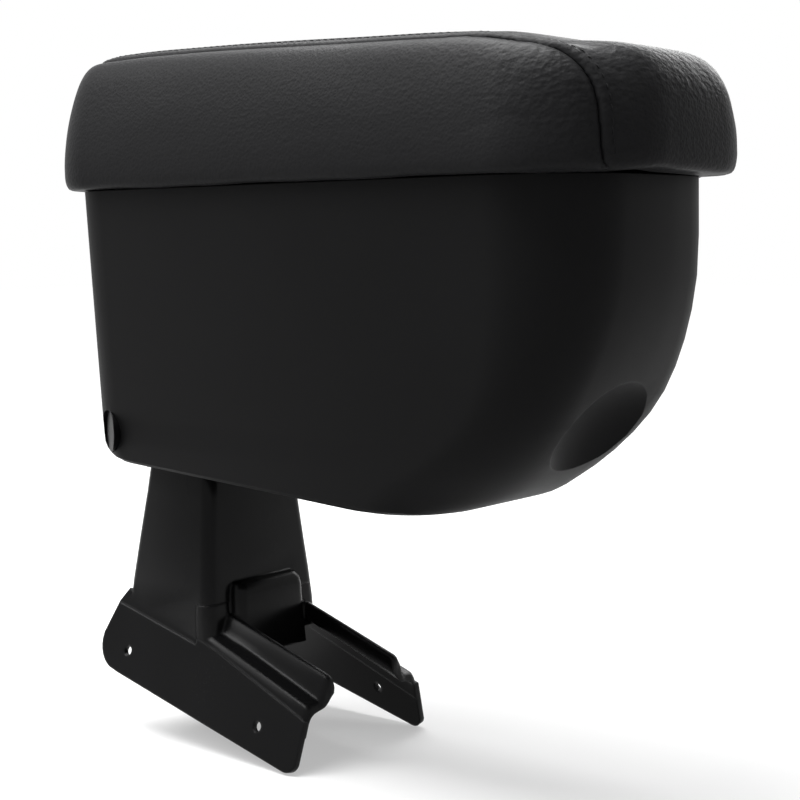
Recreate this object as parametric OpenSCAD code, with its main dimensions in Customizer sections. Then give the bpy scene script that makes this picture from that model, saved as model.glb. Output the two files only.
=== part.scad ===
// Car centre armrest: a padded, hinged lid on a moulded storage box,
// which tilts on a moulded foot that straddles the rear of a centre console.
// Millimetres. X runs forward, Y to the left, Z up.
// The origin lies on the middle plane, midway between the four console screws.

/* [Lid] */
// Length of the lid to its front corners
lid_l = 330; // [300:1:350]
// Forward bow of the lid's nose beyond its corners
lid_bow = 6; // [2:0.5:10]
// Width of the lid
lid_w = 140; // [125:1:155]
// Height of the lid near its rear
lid_rear_h = 66; // [55:0.5:72]
// How much the lid's top falls towards the nose
lid_fall = 9; // [4:0.5:14]
// Further drop of the lid's top over its nose
nose_dip = 3.6; // [0:0.2:6]
// Plan radius of the lid's rear corners
lid_rear_r = 35; // [28:1:40]
// Plan radius of the lid's front corners
lid_front_r = 48; // [42:1:52]
// Thickness of the upholstery cover
cover_t = 1.4; // [1:0.1:2]
// Thickness of the moulded lid base
base_t = 4; // [3:0.5:5]
// Height of the top seam as a share of the lid's height
seam_share = 0.94; // [0.85:0.01:0.97]

/* [Storage box] */
// Lid overhang at the rear
over_rear = 9.5; // [8:0.5:12]
// Lid overhang at the front corners
over_front = 17.8; // [14:0.2:22]
// Lid overhang at each side
over_side = 7.2; // [5:0.2:10]
// Wall thickness of the box
wall = 3; // [2.5:0.25:4]
// Depth of the box below the lid at its deepest
box_h = 144.5; // [135:0.5:150]
// Rise of the box floor towards the rear, in degrees
floor_rise = 3.35; // [2:0.05:5]
// Length of the curved belly
belly_l = 83.7; // [75:0.1:95]
// Height of the curved belly
belly_h = 119.6; // [100:0.1:122]
// Plan radius of the box's rear corners
box_rear_r = 30; // [26:1:32]
// Plan radius of the box's front corners at the rim
box_front_r = 39; // [34:1:42]
// Radius of the ball that shapes the finger recess
scoop_r = 44.5; // [40:0.5:48]
// Thickness of the floor mat
mat_t = 2; // [1:0.5:3]

/* [Tilt pivot] */
// Distance of the tilt axis from the lid's rear end
pivot_x = 36.5; // [32:0.5:42]
// Depth of the tilt axis below the lid
pivot_drop = 119.5; // [115:0.5:123]
// Diameter of the pivot bolt
bolt_d = 8; // [6:1:10]
// Diameter of the pivot caps
cap_d = 20.6; // [18:0.2:24]

/* [Foot] */
// Half width of the stalk at its top
stalk_top_w = 31.5; // [28:0.5:34]
// Half width of the stalk where it meets the flanges
stalk_foot_w = 38.9; // [36:0.1:41]
// Wall thickness of the foot moulding
skin = 3; // [2.5:0.25:3.5]
// Slope of the saddle towards the front, in degrees
saddle_slope = 13.3; // [10:0.1:16]
// Splay of the screw flanges, in degrees
splay = 16.2; // [12:0.1:20]
// Distance between the front and rear console screws
screw_pitch = 96; // [90:0.5:102]
// Diameter of the console screw holes
screw_hole_d = 5; // [4:0.1:6]

/* [Hidden] */

abs_black = [0.13, 0.13, 0.135];
hide_black = [0.2, 0.2, 0.205];
rubber_black = [0.08, 0.08, 0.08];
steel_grey = [0.62, 0.63, 0.65];
nylon_white = [0.85, 0.84, 0.8];

// Where the lid's rear lower end lies in the part's own frame.
rim_x = -77;
rim_z = 246;
rim_gap = 0.8;
half_w = lid_w / 2;
box_x0 = over_rear;
box_x1 = lid_l - over_front;
box_half = half_w - over_side;
belly_x = box_x1 - belly_l;
belly_z = -box_h - 0.1 + belly_h;
floor_slope = tan(floor_rise);
floor_z0 = -box_h + (belly_x - 4) * floor_slope;
side_draft = 0.025;
rear_draft = 0.045;
rear_edge_r = 15;
side_edge_r = 1.8;
pivot_z = -pivot_drop;
head_r = 14;
tunnel_r = 17;
tunnel_half = 34;
tunnel_front = pivot_x + 17.2;
seat_y = 42;
washer_t = 1.6;
head_h = 5.3;
nut_h = 4;
flange_l_v = 12.7;
shoulder_z = -137.5;
hinge_x = 6.5;
hinge_z = -1.9;
knuckle_r = 2.5;
hinge_pin_r = 1.25;
hinge_half = 31;
leaf_t = 1.2;
screw_r = 1.5;
pilot_r = 1.55;

// The box, the lid and most of the foot are drawn from the lid's rear lower end.
module at_rim() translate([rim_x, 0, rim_z]) children();

module both_sides() {
    children();
    mirror([0, 1, 0]) children();
}

module at_pivot(y = 0) translate([pivot_x, y, pivot_z]) children();

// A bar along Y through the tilt axis.
module cross_rod(r, y0, y1) at_pivot(y0) rotate([-90, 0, 0]) cylinder(r = r, h = y1 - y0, $fn = 64);

// A bar along Y anywhere.
module bar_y(x, z, r, y0, y1)
    translate([x, y0, z]) rotate([-90, 0, 0]) cylinder(r = r, h = y1 - y0, $fn = 48);

// A side profile in X and Z, carried across the middle plane.
module across(half) rotate([90, 0, 0]) linear_extrude(height = 2 * half, center = true) children();

function clamp01(t) = min(1, max(0, t));
function smooth(t) = let(u = clamp01(t)) u * u * (3 - 2 * u);
function mix(a, b, t) = a + (b - a) * t;
function arc(cx, cy, r, a0, a1, n = 7) =
    [for (i = [0 : n]) let(a = a0 + (a1 - a0) * i / n) [cx + r * cos(a), cy + r * sin(a)]];
function edge_inset(g, r) = g < r ? r - sqrt(max(0, r * r - (r - g) * (r - g))) : 0;

// Where a line from p touches a circle about c.
function tangent_point(c, r, p, side) =
    let(v = p - c, a = atan2(v[1], v[0]) + side * acos(r / norm(v)))
    c + r * [cos(a), sin(a)];

// Plan outline with rounded corners and a bowed front, mirrored about the X axis,
// with points at the places named in along on its straight sides.
function outline(x0, x1, w, rr, rf, bow, n = 7, along = []) =
    let(r1 = max(rr, 1), r2 = max(rf, 1), side = (w - r2) / 3, bowed = bow > 0,
        raw = concat(bowed ? [[x1, side]] : [],
            arc(x1 - r2, w - r2, r2, 0, 90, n), [for (x = along) [x, w]],
            arc(x0 + r1, w - r1, r1, 90, 180, n), arc(x0 + r1, -w + r1, r1, 180, 270, n),
            [for (i = [len(along) - 1 : -1 : 0]) [along[i], -w]],
            arc(x1 - r2, -w + r2, r2, 270, 360, n),
            bowed ? [[x1, -side]] : []))
    [for (p = raw) p[0] > x1 - r2 - 0.01 ? [p[0] + bow * (1 - pow(p[1] / w, 2)), p[1]] : p];

// A closed solid through a stack of rings, each mirrored about the X axis.
module loft(rings) {
    n = len(rings[0]);
    m = len(rings);
    top = (m - 1) * n;
    polyhedron(
        points = [for (r = rings) each r],
        faces = concat(
            [for (k = [0 : m - 2], i = [0 : n - 1]) let(j = (i + 1) % n)
                [k * n + i, (k + 1) * n + i, (k + 1) * n + j]],
            [for (k = [0 : m - 2], i = [0 : n - 1]) let(j = (i + 1) % n)
                [k * n + i, (k + 1) * n + j, k * n + j]],
            [for (i = [0 : n / 2 - 2]) [i, i + 1, n - 2 - i]],
            [for (i = [0 : n / 2 - 2]) [i, n - 2 - i, n - 1 - i]],
            [for (i = [0 : n / 2 - 2]) [top + i, top + n - 2 - i, top + i + 1]],
            [for (i = [0 : n / 2 - 2]) [top + i, top + n - 1 - i, top + n - 2 - i]]),
        convexity = 6);
}

// Lid

// Height of the lid's top above its lower edge, along its length.
function top_h(x) = x < 70
    ? lid_rear_h - 2 * pow((70 - x) / 70, 2)
    : lid_rear_h - lid_fall * pow((x - 70) / 215, 1.25) - nose_dip * smooth((x - 262) / 32);

// For each ring of the lid: share of the height, inset at sides and rear, inset at the nose.
lid_levels = [[0, 1.4, 2.2], [0.05, 0.3, 0.8], [0.13, 0, 0.2], [0.3, 0.4, 0], [0.46, 1.4, 0.8],
    [0.62, 3, 2.6], [0.74, 4.6, 5.6], [0.83, 6.5, 9.6], [0.9, 9, 14.4], [0.945, 12, 20],
    [0.975, 16, 28], [0.992, 21.5, 38.5], [1.003, 30, 51], [1.012, 45, 65], [1.016, 60, 80]];
// Places along the straight sides where the lid's rings have points.
lid_stations = [250, 205, 150, 90];

// Plan of the lid drawn in at the sides and at the nose, with its corners in proportion.
function lid_outline(d, dn) =
    let(keep = 1 - d / half_w)
    outline(d, lid_l - dn, half_w - d, lid_rear_r * keep, lid_front_r * keep, lid_bow, 7, lid_stations);

function lid_ring(v, skin_in, z_from) =
    [for (p = lid_outline(v[1] + skin_in, v[2] + skin_in))
        [p[0], p[1], z_from + v[0] * (top_h(p[0]) - skin_in - z_from)]];

module lid_form(skin_in, z_from) loft([for (v = lid_levels) lid_ring(v, skin_in, z_from)]);

// The part of the cover that the top and nose panel takes up, seen from the side.
module top_panel_zone() {
    seam_front = [[320.8, -5], [320.8, 0], [320, 15], [319, 24], [316, 32.6], [311, 39.8], [305, 46],
        [297, 50.2]];
    seam_top = [for (x = [286 : -20 : -14]) [x, seam_share * top_h(x)]];
    across(100) polygon(concat([[360, 100], [360, -5]], seam_front, seam_top, [[-14, 100]]));
}

module lid_plan(inset) polygon(lid_outline(inset, inset));

// The cover wraps the lid and turns in under its edge, and is cut back round the hinge.
module cover_skin() {
    turn_in = 16;
    difference() {
        lid_form(0, 0);
        lid_form(cover_t, cover_t);
        translate([0, 0, -1]) linear_extrude(height = cover_t + 1.2) lid_plan(turn_in);
        translate([-1, -46, -1]) cube([turn_in + 4, 92, cover_t + 1.2]);
        staples(0.1);
    }
}

module cover_top_panel() {
    color(hide_black) at_rim() intersection() {
        cover_skin();
        top_panel_zone();
    }
}

module cover_side_panel() {
    color(hide_black) at_rim() difference() {
        cover_skin();
        top_panel_zone();
    }
}

// Wire staples that hold the turned-in cover on the base.
module staples(grow) {
    crown = 9;
    wire = 0.6;
    for (x = [70, 120, 170, 220]) {
        both_sides() translate([x, half_w - 12.5, 0]) {
            translate([-crown / 2 - grow, -wire / 2 - grow, -wire])
                cube([crown + 2 * grow, wire + 2 * grow, wire]);
            for (side = [-1, 1])
                translate([side * (crown / 2 - wire / 2) - wire / 2 - grow, -wire / 2 - grow, -wire])
                    cube([wire + 2 * grow, wire + 2 * grow, 4.6 + grow]);
        }
    }
}

module cover_staples() {
    color(steel_grey) at_rim() staples(0);
}

// A plate with a stepped edge, which the cover wraps, and three holes that save weight.
module lid_base() {
    hole_r = 23;
    step = 1.6;
    color(abs_black) at_rim() difference() {
        union() {
            translate([0, 0, cover_t]) linear_extrude(height = base_t) lid_plan(cover_t + 2.4);
            translate([0, 0, cover_t + step]) linear_extrude(height = base_t - step) lid_plan(cover_t + 1.7);
        }
        for (x = [75, 145, 215]) translate([x, 0, 0]) cylinder(r = hole_r, h = 20, $fn = 64);
        staples(0.1);
        upper_screw_places() cylinder(r = pilot_r, h = 8, $fn = 24);
    }
}

module lid_foam() {
    color([0.75, 0.72, 0.6]) at_rim() intersection() {
        lid_form(cover_t + 0.2, cover_t + 0.2);
        translate([0, -half_w, cover_t + base_t + 0.05]) cube([lid_l + 20, lid_w, 100]);
    }
}

// Lid hinge

module hinge_axis(r, y0, y1) bar_y(hinge_x, hinge_z, r, y0, y1);

module lower_screw_places() {
    for (y = [-22, 0, 22]) translate([box_x0, y, -15]) rotate([0, 90, 0]) children();
}

module upper_screw_places() {
    for (y = [-22, 0, 22]) translate([22, y, 0.15]) children();
}

module countersunk_screw(length) {
    head = 2.8;
    cylinder(r1 = head, r2 = screw_r, h = 1.2, $fn = 32);
    cylinder(r = screw_r, h = length, $fn = 24);
}

module countersink() {
    cylinder(r1 = 2.95, r2 = pilot_r + 0.1, h = 1.25, $fn = 32);
    translate([0, 0, -1]) cylinder(r = 2.95, h = 1.01, $fn = 32);
    cylinder(r = pilot_r, h = 4, $fn = 24);
}

module hinge_lower_leaf() {
    leaf_x = box_x0 - leaf_t - 0.02;
    color(steel_grey) at_rim() difference() {
        union() {
            translate([leaf_x, -hinge_half, -22]) cube([leaf_t, 2 * hinge_half, 22 + hinge_z]);
            for (y = [-31, -6, 19]) hinge_axis(knuckle_r, y, y + 12);
        }
        hinge_axis(hinge_pin_r + 0.02, -40, 40);
        for (y = [-19, 6]) hinge_axis(knuckle_r + 0.6, y, y + 13);
        lower_screw_places() translate([0, 0, -leaf_t - 0.02]) countersink();
    }
}

module hinge_lower_screws() {
    color(steel_grey) at_rim() lower_screw_places() translate([0, 0, -leaf_t]) countersunk_screw(8);
}

module hinge_pin() {
    color(steel_grey) at_rim() hinge_axis(hinge_pin_r, -hinge_half, hinge_half);
}

module hinge_upper_leaf() {
    color(steel_grey) at_rim() difference() {
        union() {
            translate([hinge_x, -hinge_half, 0.15]) cube([22, 2 * hinge_half, leaf_t]);
            for (y = [-18.6, 6.4]) hinge_axis(knuckle_r, y, y + 12.2);
        }
        hinge_axis(hinge_pin_r + 0.05, -40, 40);
        for (gap = [[-32, 13.4], [-6.4, 12.8], [18.6, 14.8]])
            hinge_axis(knuckle_r + 0.6, gap[0], gap[0] + gap[1]);
        upper_screw_places() countersink();
    }
}

module hinge_upper_screws() {
    color(steel_grey) at_rim() upper_screw_places() countersunk_screw(5);
}

// Storage box

// Plan radius of the front corners at each depth, as a share of the radius at the rim.
corner_shares = [[0, 1], [60, 0.9], [92, 0.8], [106, 0.86], [120, 1.04], [133, 1.2], [140, 1.1],
    [146, 0.65]];

// Plan of the box at a height: its front reaches x1, and it is drawn in for the walls' inner face.
function box_ring(z, x1, slope, inset, n) =
    let(g = z - (belly_z - belly_h + inset),
        zr = z + slope * (x1 - box_x0),
        x0 = box_x0 - rear_draft * (zr + rim_gap) + edge_inset(g, rear_edge_r) + inset,
        w = box_half + side_draft * (z + rim_gap) - edge_inset(g, side_edge_r) - inset,
        rf = box_front_r * lookup(-z, corner_shares) - inset,
        bow = mix(lid_bow, 0.3, smooth((-z - 40) / 105)))
    [for (p = outline(x0, x1, w, box_rear_r - inset - edge_inset(g, rear_edge_r) * 0.4, max(rf, 3), bow, n))
        [p[0], p[1], z + slope * (x1 - p[0])]];

// The front runs down in a curve a little flatter than an ellipse, with t from 0 at its top to the floor.
module box_form(inset, top_z, n, steps) {
    turn = 92.5;
    loft(concat(
        [for (i = [0 : steps])
            let(t = turn * pow(1 - i / steps, 0.9), s = sin(t), c = cos(t),
                reach = sign(c) * pow(abs(c), 1.13))
            box_ring(belly_z - (belly_h - inset) * pow(s, 0.97), belly_x + (belly_l - inset) * reach,
                floor_slope * pow(s, 6), inset, n)],
        [box_ring(top_z, box_x1 - inset, 0, inset, n)]));
}

module at_floor() translate([0, 0, floor_z0]) rotate([0, floor_rise, 0]) children();

module at_scoop() translate([315.6, 0, -128.8]) children();

// The space round the stalk's head, open below and at the rear, grown by a wall.
module tunnel(grow, half) {
    cross_rod(tunnel_r + grow, -half, half);
    translate([-5, -half, -165]) cube([tunnel_front + 5 + grow, 2 * half, 165 + pivot_z]);
    translate([-5, -half, pivot_z - 1]) cube([pivot_x + 5, 2 * half, tunnel_r + 1 + grow]);
}

module buffer_places() {
    for (x = [50, 262]) both_sides() translate([x, box_half - 6.4, -rim_gap]) children();
}

module box_shell() {
    boss_r = 4.4;
    color(abs_black) at_rim() difference() {
        union() {
            box_form(0, -rim_gap, 10, 15);
            translate([box_x0, -hinge_half - 1, -24]) cube([4, 2 * hinge_half + 2, 24 - rim_gap]);
        }
        difference() {
            box_form(wall, 1, 5, 9);
            tunnel(wall, tunnel_half + wall);
            both_sides() cross_rod(13.5, tunnel_half, half_w);
            at_scoop() sphere(r = scoop_r + wall, $fn = 48);
            buffer_places() translate([0, 0, -14]) cylinder(r = boss_r, h = 20, $fn = 32);
            lower_screw_places() cylinder(r = boss_r, h = 9.5, $fn = 32);
            translate([0, -hinge_half - 1, -24]) cube([box_x0 + wall + 0.6, 2 * hinge_half + 2, 30]);
        }
        translate([0, -half_w, -rim_gap]) cube([lid_l, lid_w, 10]);
        tunnel(0, tunnel_half);
        cross_rod(bolt_d / 2 + 0.2, -seat_y - 5, seat_y + 5);
        both_sides() cross_rod(cap_d / 2 + 0.2, seat_y, half_w);
        at_scoop() sphere(r = scoop_r, $fn = 64);
        buffer_places() translate([0, 0, -8]) cylinder(r = 2.1, h = 12, $fn = 32);
        lower_screw_places() translate([0, 0, -1]) cylinder(r = pilot_r, h = 9, $fn = 24);
    }
}

module box_floor_mat() {
    mat_x0 = 60;
    mat_x1 = 212;
    color(rubber_black) at_rim() at_floor() translate([0, 0, wall + 0.15]) linear_extrude(height = mat_t)
        polygon(outline(mat_x0, mat_x1, 51, 4, 16, 0, 5));
}

module rim_buffers() {
    color(rubber_black) at_rim() buffer_places() {
        translate([0, 0, 0.02]) cylinder(r = 3.6, h = rim_gap - 0.12, $fn = 32);
        translate([0, 0, -6]) cylinder(r = 2, h = 6.1, $fn = 32);
    }
}

// Tilt pivot

module pivot_bolt() {
    color(steel_grey) at_rim() {
        cross_rod(bolt_d / 2, -seat_y - washer_t - nut_h - 0.8, seat_y + washer_t + 0.1);
        at_pivot(seat_y + washer_t + 0.02) rotate([-90, 0, 0])
            cylinder(r = 6.5 / cos(30), h = head_h, $fn = 6);
    }
}

module pivot_nut() {
    color(steel_grey) at_rim() difference() {
        at_pivot(-seat_y - washer_t - nut_h - 0.02) rotate([-90, 0, 0])
            cylinder(r = 6.5 / cos(30), h = nut_h, $fn = 6);
        cross_rod(bolt_d / 2 + 0.03, -seat_y - 20, -seat_y);
    }
}

module pivot_washers() {
    color(steel_grey) at_rim() both_sides() difference() {
        cross_rod(8.4, seat_y + 0.01, seat_y + washer_t);
        cross_rod(bolt_d / 2 + 0.2, seat_y - 1, seat_y + 5);
    }
}

// A plug whose outer face slants to follow the rear corner of the box.
module pivot_cap() {
    lean = 0.604;
    near_y = 51.5;
    near_x = pivot_x - cap_d / 2;
    inner_y = seat_y + washer_t + head_h + 0.5;
    face = 2;
    module wedge(back) translate([0, 0, pivot_z - 20]) linear_extrude(height = 40)
        polygon([[near_x - 5, inner_y - 2], [near_x + 30, inner_y - 2],
            [near_x + 30, near_y + 30 * lean - back], [near_x - 5, near_y - 5 * lean - back]]);
    difference() {
        intersection() {
            cross_rod(cap_d / 2, inner_y, half_w);
            wedge(0);
        }
        intersection() {
            cross_rod(cap_d / 2 - 1.6, inner_y - 1, half_w);
            wedge(face);
        }
    }
}

module pivot_cap_left() {
    color(abs_black) at_rim() pivot_cap();
}

module pivot_cap_right() {
    color(abs_black) at_rim() mirror([0, 1, 0]) pivot_cap();
}

// Foot

// The stalk at a height: rear, front and half width.
function stalk_rear(z) = z > -174 ? mix(28, 33, (z + 174) / 33) : mix(22.5, 28, (z + 214) / 40);
function stalk_front(z) = z > -190 ? mix(82.6, 79, (z + 190) / 52.5) : mix(86, 82.6, (z + 228) / 38);
function stalk_half(z) = mix(stalk_foot_w, stalk_top_w, clamp01((z + 208) / 65));

function stalk_ring(z, inset) =
    [for (p = outline(stalk_rear(z) + inset, stalk_front(z) - inset, stalk_half(z) - inset,
        5 - inset, 6 - inset, 0, 5)) [p[0], p[1], z]];

module stalk_form(inset, top_z, bottom_z) {
    span = top_z - bottom_z;
    soft = inset > 0 ? 0 : 1.5;
    loft(concat(
        [for (i = [0 : 6]) stalk_ring(bottom_z + (span - soft) * i / 6, inset)],
        soft > 0 ? [stalk_ring(top_z - 0.5, inset + 0.5), stalk_ring(top_z, inset + soft)] : []));
}

// Side profile of the head: a disc about the tilt axis, run down into the stalk.
module head_profile(r, rear_x, front_x, foot_z) {
    centre = [pivot_x, pivot_z];
    rear = [rear_x, foot_z];
    front = [front_x, foot_z];
    translate(centre) circle(r = r, $fn = 72);
    polygon([rear, front, tangent_point(centre, r, front, 1), centre, tangent_point(centre, r, rear, -1)]);
}

// The flange's own frame: x along the saddle, z up the flange, y out through it.
module on_flange() translate([-rim_x, 45.5, -rim_z]) rotate([0, saddle_slope, 0]) rotate([splay, 0, 0])
    children();

module flange_screw_places() {
    for (u = [-screw_pitch / 2, screw_pitch / 2]) translate([u, 0, 0]) rotate([90, 0, 0]) children();
}

module flange_plate() {
    low = -flange_l_v;
    on_flange() rotate([90, 0, 0]) linear_extrude(height = skin)
        polygon(concat(
            [[-49.8, low]],
            arc(71.3, low + 6, 6, -90, -4, 6),
            [[74, 13.6], [6.2, 22.6], [-48, 24.8], [-61.2, 29.5], [-65, 21], [-68.1, 2.4]],
            arc(-53.4, low + 14.6, 14.6, 192, 256, 6)));
}

// Half section of an arm from the flange up over the bead and the ridge:
// outer half width and height, then the same on the inside.
arm_root = [[41.2, -234, 38.3, -234.8], [39.2, -227, 36.4, -228.2], [38.3, -224.4, 35.9, -227],
    [36.8, -222.9, 35, -226.2], [34.8, -222.2, 33.6, -225.4], [32.2, -221.5, 31.6, -224.8],
    [30.2, -220.1, 29.6, -224.2], [28.7, -217.6, 28.4, -223.8], [27.4, -214.9, 27.2, -223.4],
    [25.9, -213, 26, -223], [24.2, -212.4, 24.9, -222.6], [22.8, -213.2, 23.6, -221.8],
    [22.2, -215.2, 22.3, -221]];
arm_tip = [[43.4, -258, 40.5, -258.8], [41.5, -251, 38.7, -252.3], [40.3, -247.5, 37.8, -250.5],
    [38.6, -245.3, 36.8, -249.3], [36.2, -244.5, 35, -248.2], [33.4, -244.4, 32.6, -247.6],
    [30.6, -243.4, 30, -247.2], [28.5, -239.8, 28.2, -246.8], [27, -235.8, 26.8, -246],
    [25.4, -233.4, 25.6, -245], [23.6, -232.6, 24.4, -243.6], [22, -233.4, 23, -242.2],
    [21.4, -235.6, 21.6, -241]];
arm_x0 = 88;
arm_x1 = 150.2;

// Distance along the arm, and how far its outer face is drawn in to round the tip.
arm_stations = [[-0.12, 0], [0.12, 0], [0.36, 0], [0.6, 0], [0.8, 0], [0.95, 0], [0.968, 0.25], [0.984, 0.9],
    [0.994, 1.7], [1, 2.6]];

module arm() {
    n = len(arm_root);
    m = len(arm_stations);
    ring = 2 * n;
    rings = [for (st = arm_stations)
        let(sec = [for (i = [0 : n - 1]) mix(arm_root[i], arm_tip[i], st[0])],
            x = mix(arm_x0, arm_x1, st[0]))
        concat(
            [for (p = sec)
                let(o = [p[0], p[1]], q = [p[2], p[3]], k = st[1] / norm(q - o), e = mix(o, q, k))
                [x + st[0] * (e[1] + 277) * 0.06, e[0], e[1]]],
            [for (i = [n - 1 : -1 : 0])
                let(p = sec[i])
                [x + st[0] * (p[3] + 277) * 0.06, p[2], p[3]]])];
    last = (m - 1) * ring;
    polyhedron(
        points = [for (r = rings) each r],
        faces = concat(
            [for (k = [0 : m - 2], i = [0 : ring - 1]) let(j = (i + 1) % ring)
                [k * ring + i, (k + 1) * ring + j, k * ring + j]],
            [for (k = [0 : m - 2], i = [0 : ring - 1]) let(j = (i + 1) % ring)
                [k * ring + i, (k + 1) * ring + i, (k + 1) * ring + j]],
            [for (i = [0 : n - 2]) [i, i + 1, ring - 2 - i]],
            [for (i = [0 : n - 2]) [i, ring - 2 - i, ring - 1 - i]],
            [for (i = [0 : n - 2]) [last + i, last + ring - 2 - i, last + i + 1]],
            [for (i = [0 : n - 2]) [last + i, last + ring - 1 - i, last + ring - 2 - i]]),
        convexity = 6);
}

// The block at the stalk's front foot, which runs down as a web between the arms.
function boss_ring(z, x1, half, r) = [for (p = outline(76, x1, half, 2, r, 0, 5)) [p[0], p[1], z]];

module boss_form() loft([boss_ring(-234, 91.8, 24.5, 3), boss_ring(-224, 91.8, 24, 4),
    boss_ring(-214, 91.6, 23.6, 5), boss_ring(-203, 91.2, 23.2, 5), boss_ring(-199.5, 90.4, 22.6, 5),
    boss_ring(-197.3, 88.8, 21.4, 5), boss_ring(-196.4, 86.6, 20, 5)]);

// The room for the console between the flanges, and the hollow of the stalk above it.
module saddle_room() {
    g0 = -20;
    g1 = 33;
    s0 = 49 - 0.29 * g0 - 3.15;
    s1 = 49 - 0.29 * g1 - 3.15;
    translate([51.9, 0, -253]) rotate([0, saddle_slope, 0]) translate([-60, 0, 0]) rotate([90, 0, 90])
        linear_extrude(height = 86) polygon([[-s0, g0], [s0, g0], [s1, g1], [-s1, g1]]);
}

module bracket_screw_places() {
    for (p = [[46.5, -134.5], [38, -137.5]])
        both_sides() translate([p[0], stalk_top_w, p[1]]) rotate([90, 0, 0]) children();
}

module foot_form() {
    cheek = stalk_top_w - skin;
    difference() {
        union() {
            stalk_form(0, shoulder_z, -228);
            across(stalk_top_w) head_profile(head_r, 33, 52, -141);
            both_sides() flange_plate();
            both_sides() arm();
            boss_form();
        }
        stalk_form(skin, shoulder_z - skin, -230);
        across(cheek) head_profile(head_r - skin, 33 + skin, 52 - skin, -143);
        saddle_room();
        translate([70, -20, -240]) cube([18.4, 40, 41]);
        cross_rod(6.03, -40, 40);
        both_sides() on_flange() flange_screw_places() translate([0, 0, -5])
            cylinder(d = screw_hole_d, h = 15, $fn = 48);
        bracket_screw_places() translate([0, 0, -1]) cylinder(r = screw_r + 0.1, h = 8, $fn = 24);
        bracket_screw_places() translate([0, 0, -1]) cylinder(r = 2.9, h = 2.6, $fn = 32);
        stop_stem_places() cylinder(r = 2.5, h = 10, $fn = 32);
    }
}

// What lies left of the saddle: the left flange and arm, up to just under the saddle's ceiling.
// The block at the stalk's front foot stays with the stalk.
module left_flange_zone() {
    split_h = 32;
    drop = tan(saddle_slope);
    function split_z(x) = -253 + split_h / cos(saddle_slope) - (x - 51.9) * drop;
    difference() {
        translate([0, 80, 0]) rotate([90, 0, 0]) linear_extrude(height = 80)
            polygon([[-20, split_z(-20)], [75.5, split_z(75.5)], [75.5, -206], [170, -206], [170, -320],
                [-20, -320]]);
        translate([75, -1, -330]) cube([16.85, 25.6, 140]);
    }
}

// The foot is one moulding, in three pieces: its stalk, and a flange with its arm on each side.
module foot_moulding() {
    color(abs_black) at_rim() difference() {
        foot_form();
        both_sides() left_flange_zone();
    }
}

module foot_flange() intersection() {
    foot_form();
    left_flange_zone();
}

module foot_flange_left() {
    color(abs_black) at_rim() foot_flange();
}

module foot_flange_right() {
    color(abs_black) at_rim() mirror([0, 1, 0]) foot_flange();
}

// A folded steel bracket inside the head, with both cheeks on the tilt axis.
module stalk_bracket() {
    outer = stalk_top_w - skin - 0.1;
    sheet = 2;
    module cheeks_profile() {
        head_profile(head_r - skin - 0.5, 36.6, 48.4, -142.5);
        polygon([[36.6, -142], [48.4, -142], [58, -148], [58, -165], [37, -165]]);
    }
    color(steel_grey) at_rim() difference() {
        union() {
            both_sides() translate([0, outer, 0]) rotate([90, 0, 0]) linear_extrude(height = sheet)
                cheeks_profile();
            translate([58 - sheet, -outer, -165]) cube([sheet, 2 * outer, 17]);
        }
        cross_rod(6.03, -40, 40);
        bracket_screw_places() translate([0, 0, -1]) cylinder(r = screw_r + 0.1, h = 8, $fn = 24);
    }
}

module bracket_screws() {
    color(steel_grey) at_rim() bracket_screw_places() {
        translate([0, 0, 0.1]) cylinder(r = 2.7, h = 1.4, $fn = 32);
        translate([0, 0, 0.1]) cylinder(r = screw_r, h = 6.4, $fn = 24);
    }
}

module pivot_bush() difference() {
    union() {
        cross_rod(6, 26, stalk_top_w + 0.1);
        cross_rod(11, stalk_top_w + 0.02, tunnel_half - 0.35);
    }
    cross_rod(bolt_d / 2 + 0.05, 20, 40);
}

module pivot_bush_left() {
    color(nylon_white) at_rim() pivot_bush();
}

module pivot_bush_right() {
    color(nylon_white) at_rim() mirror([0, 1, 0]) pivot_bush();
}

module pivot_spacer() {
    color(steel_grey) at_rim() difference() {
        cross_rod(7, -25.9, 25.9);
        cross_rod(bolt_d / 2 + 0.4, -30, 30);
    }
}

module stop_stem_places() {
    for (y = [-13, 13]) translate([66, y, shoulder_z - 6]) children();
}

// The rubber block on the stalk's shoulder that the box rests on.
module tilt_stop_pad() {
    x0 = 58;
    x1 = 74;
    seat = shoulder_z + 0.02;
    function under_box(x) = floor_z0 - x * floor_slope - 0.25;
    color(rubber_black) at_rim() {
        across(20) polygon([[x0, seat], [x1, seat], [x1, under_box(x1)], [x0, under_box(x0)]]);
        stop_stem_places() cylinder(r = 2.4, h = 6.1, $fn = 32);
    }
}

foot_moulding();
foot_flange_left();
foot_flange_right();
stalk_bracket();
bracket_screws();
pivot_spacer();
pivot_bush_left();
pivot_bush_right();
tilt_stop_pad();
box_shell();
box_floor_mat();
pivot_bolt();
pivot_nut();
pivot_washers();
pivot_cap_left();
pivot_cap_right();
rim_buffers();
hinge_lower_leaf();
hinge_lower_screws();
hinge_pin();
lid_base();
lid_foam();
cover_side_panel();
cover_top_panel();
cover_staples();
hinge_upper_leaf();
hinge_upper_screws();
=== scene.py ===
"""Car centre armrest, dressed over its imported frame: sewn cover, thread, moulded plastics and hardware."""
import math
import random

import bmesh
import bpy
import numpy as np
from bpy.props import FloatProperty, FloatVectorProperty, IntProperty, PointerProperty
from mathutils import Matrix, Vector, noise
from mathutils.bvhtree import BVHTree
from mathutils.kdtree import KDTree


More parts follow.
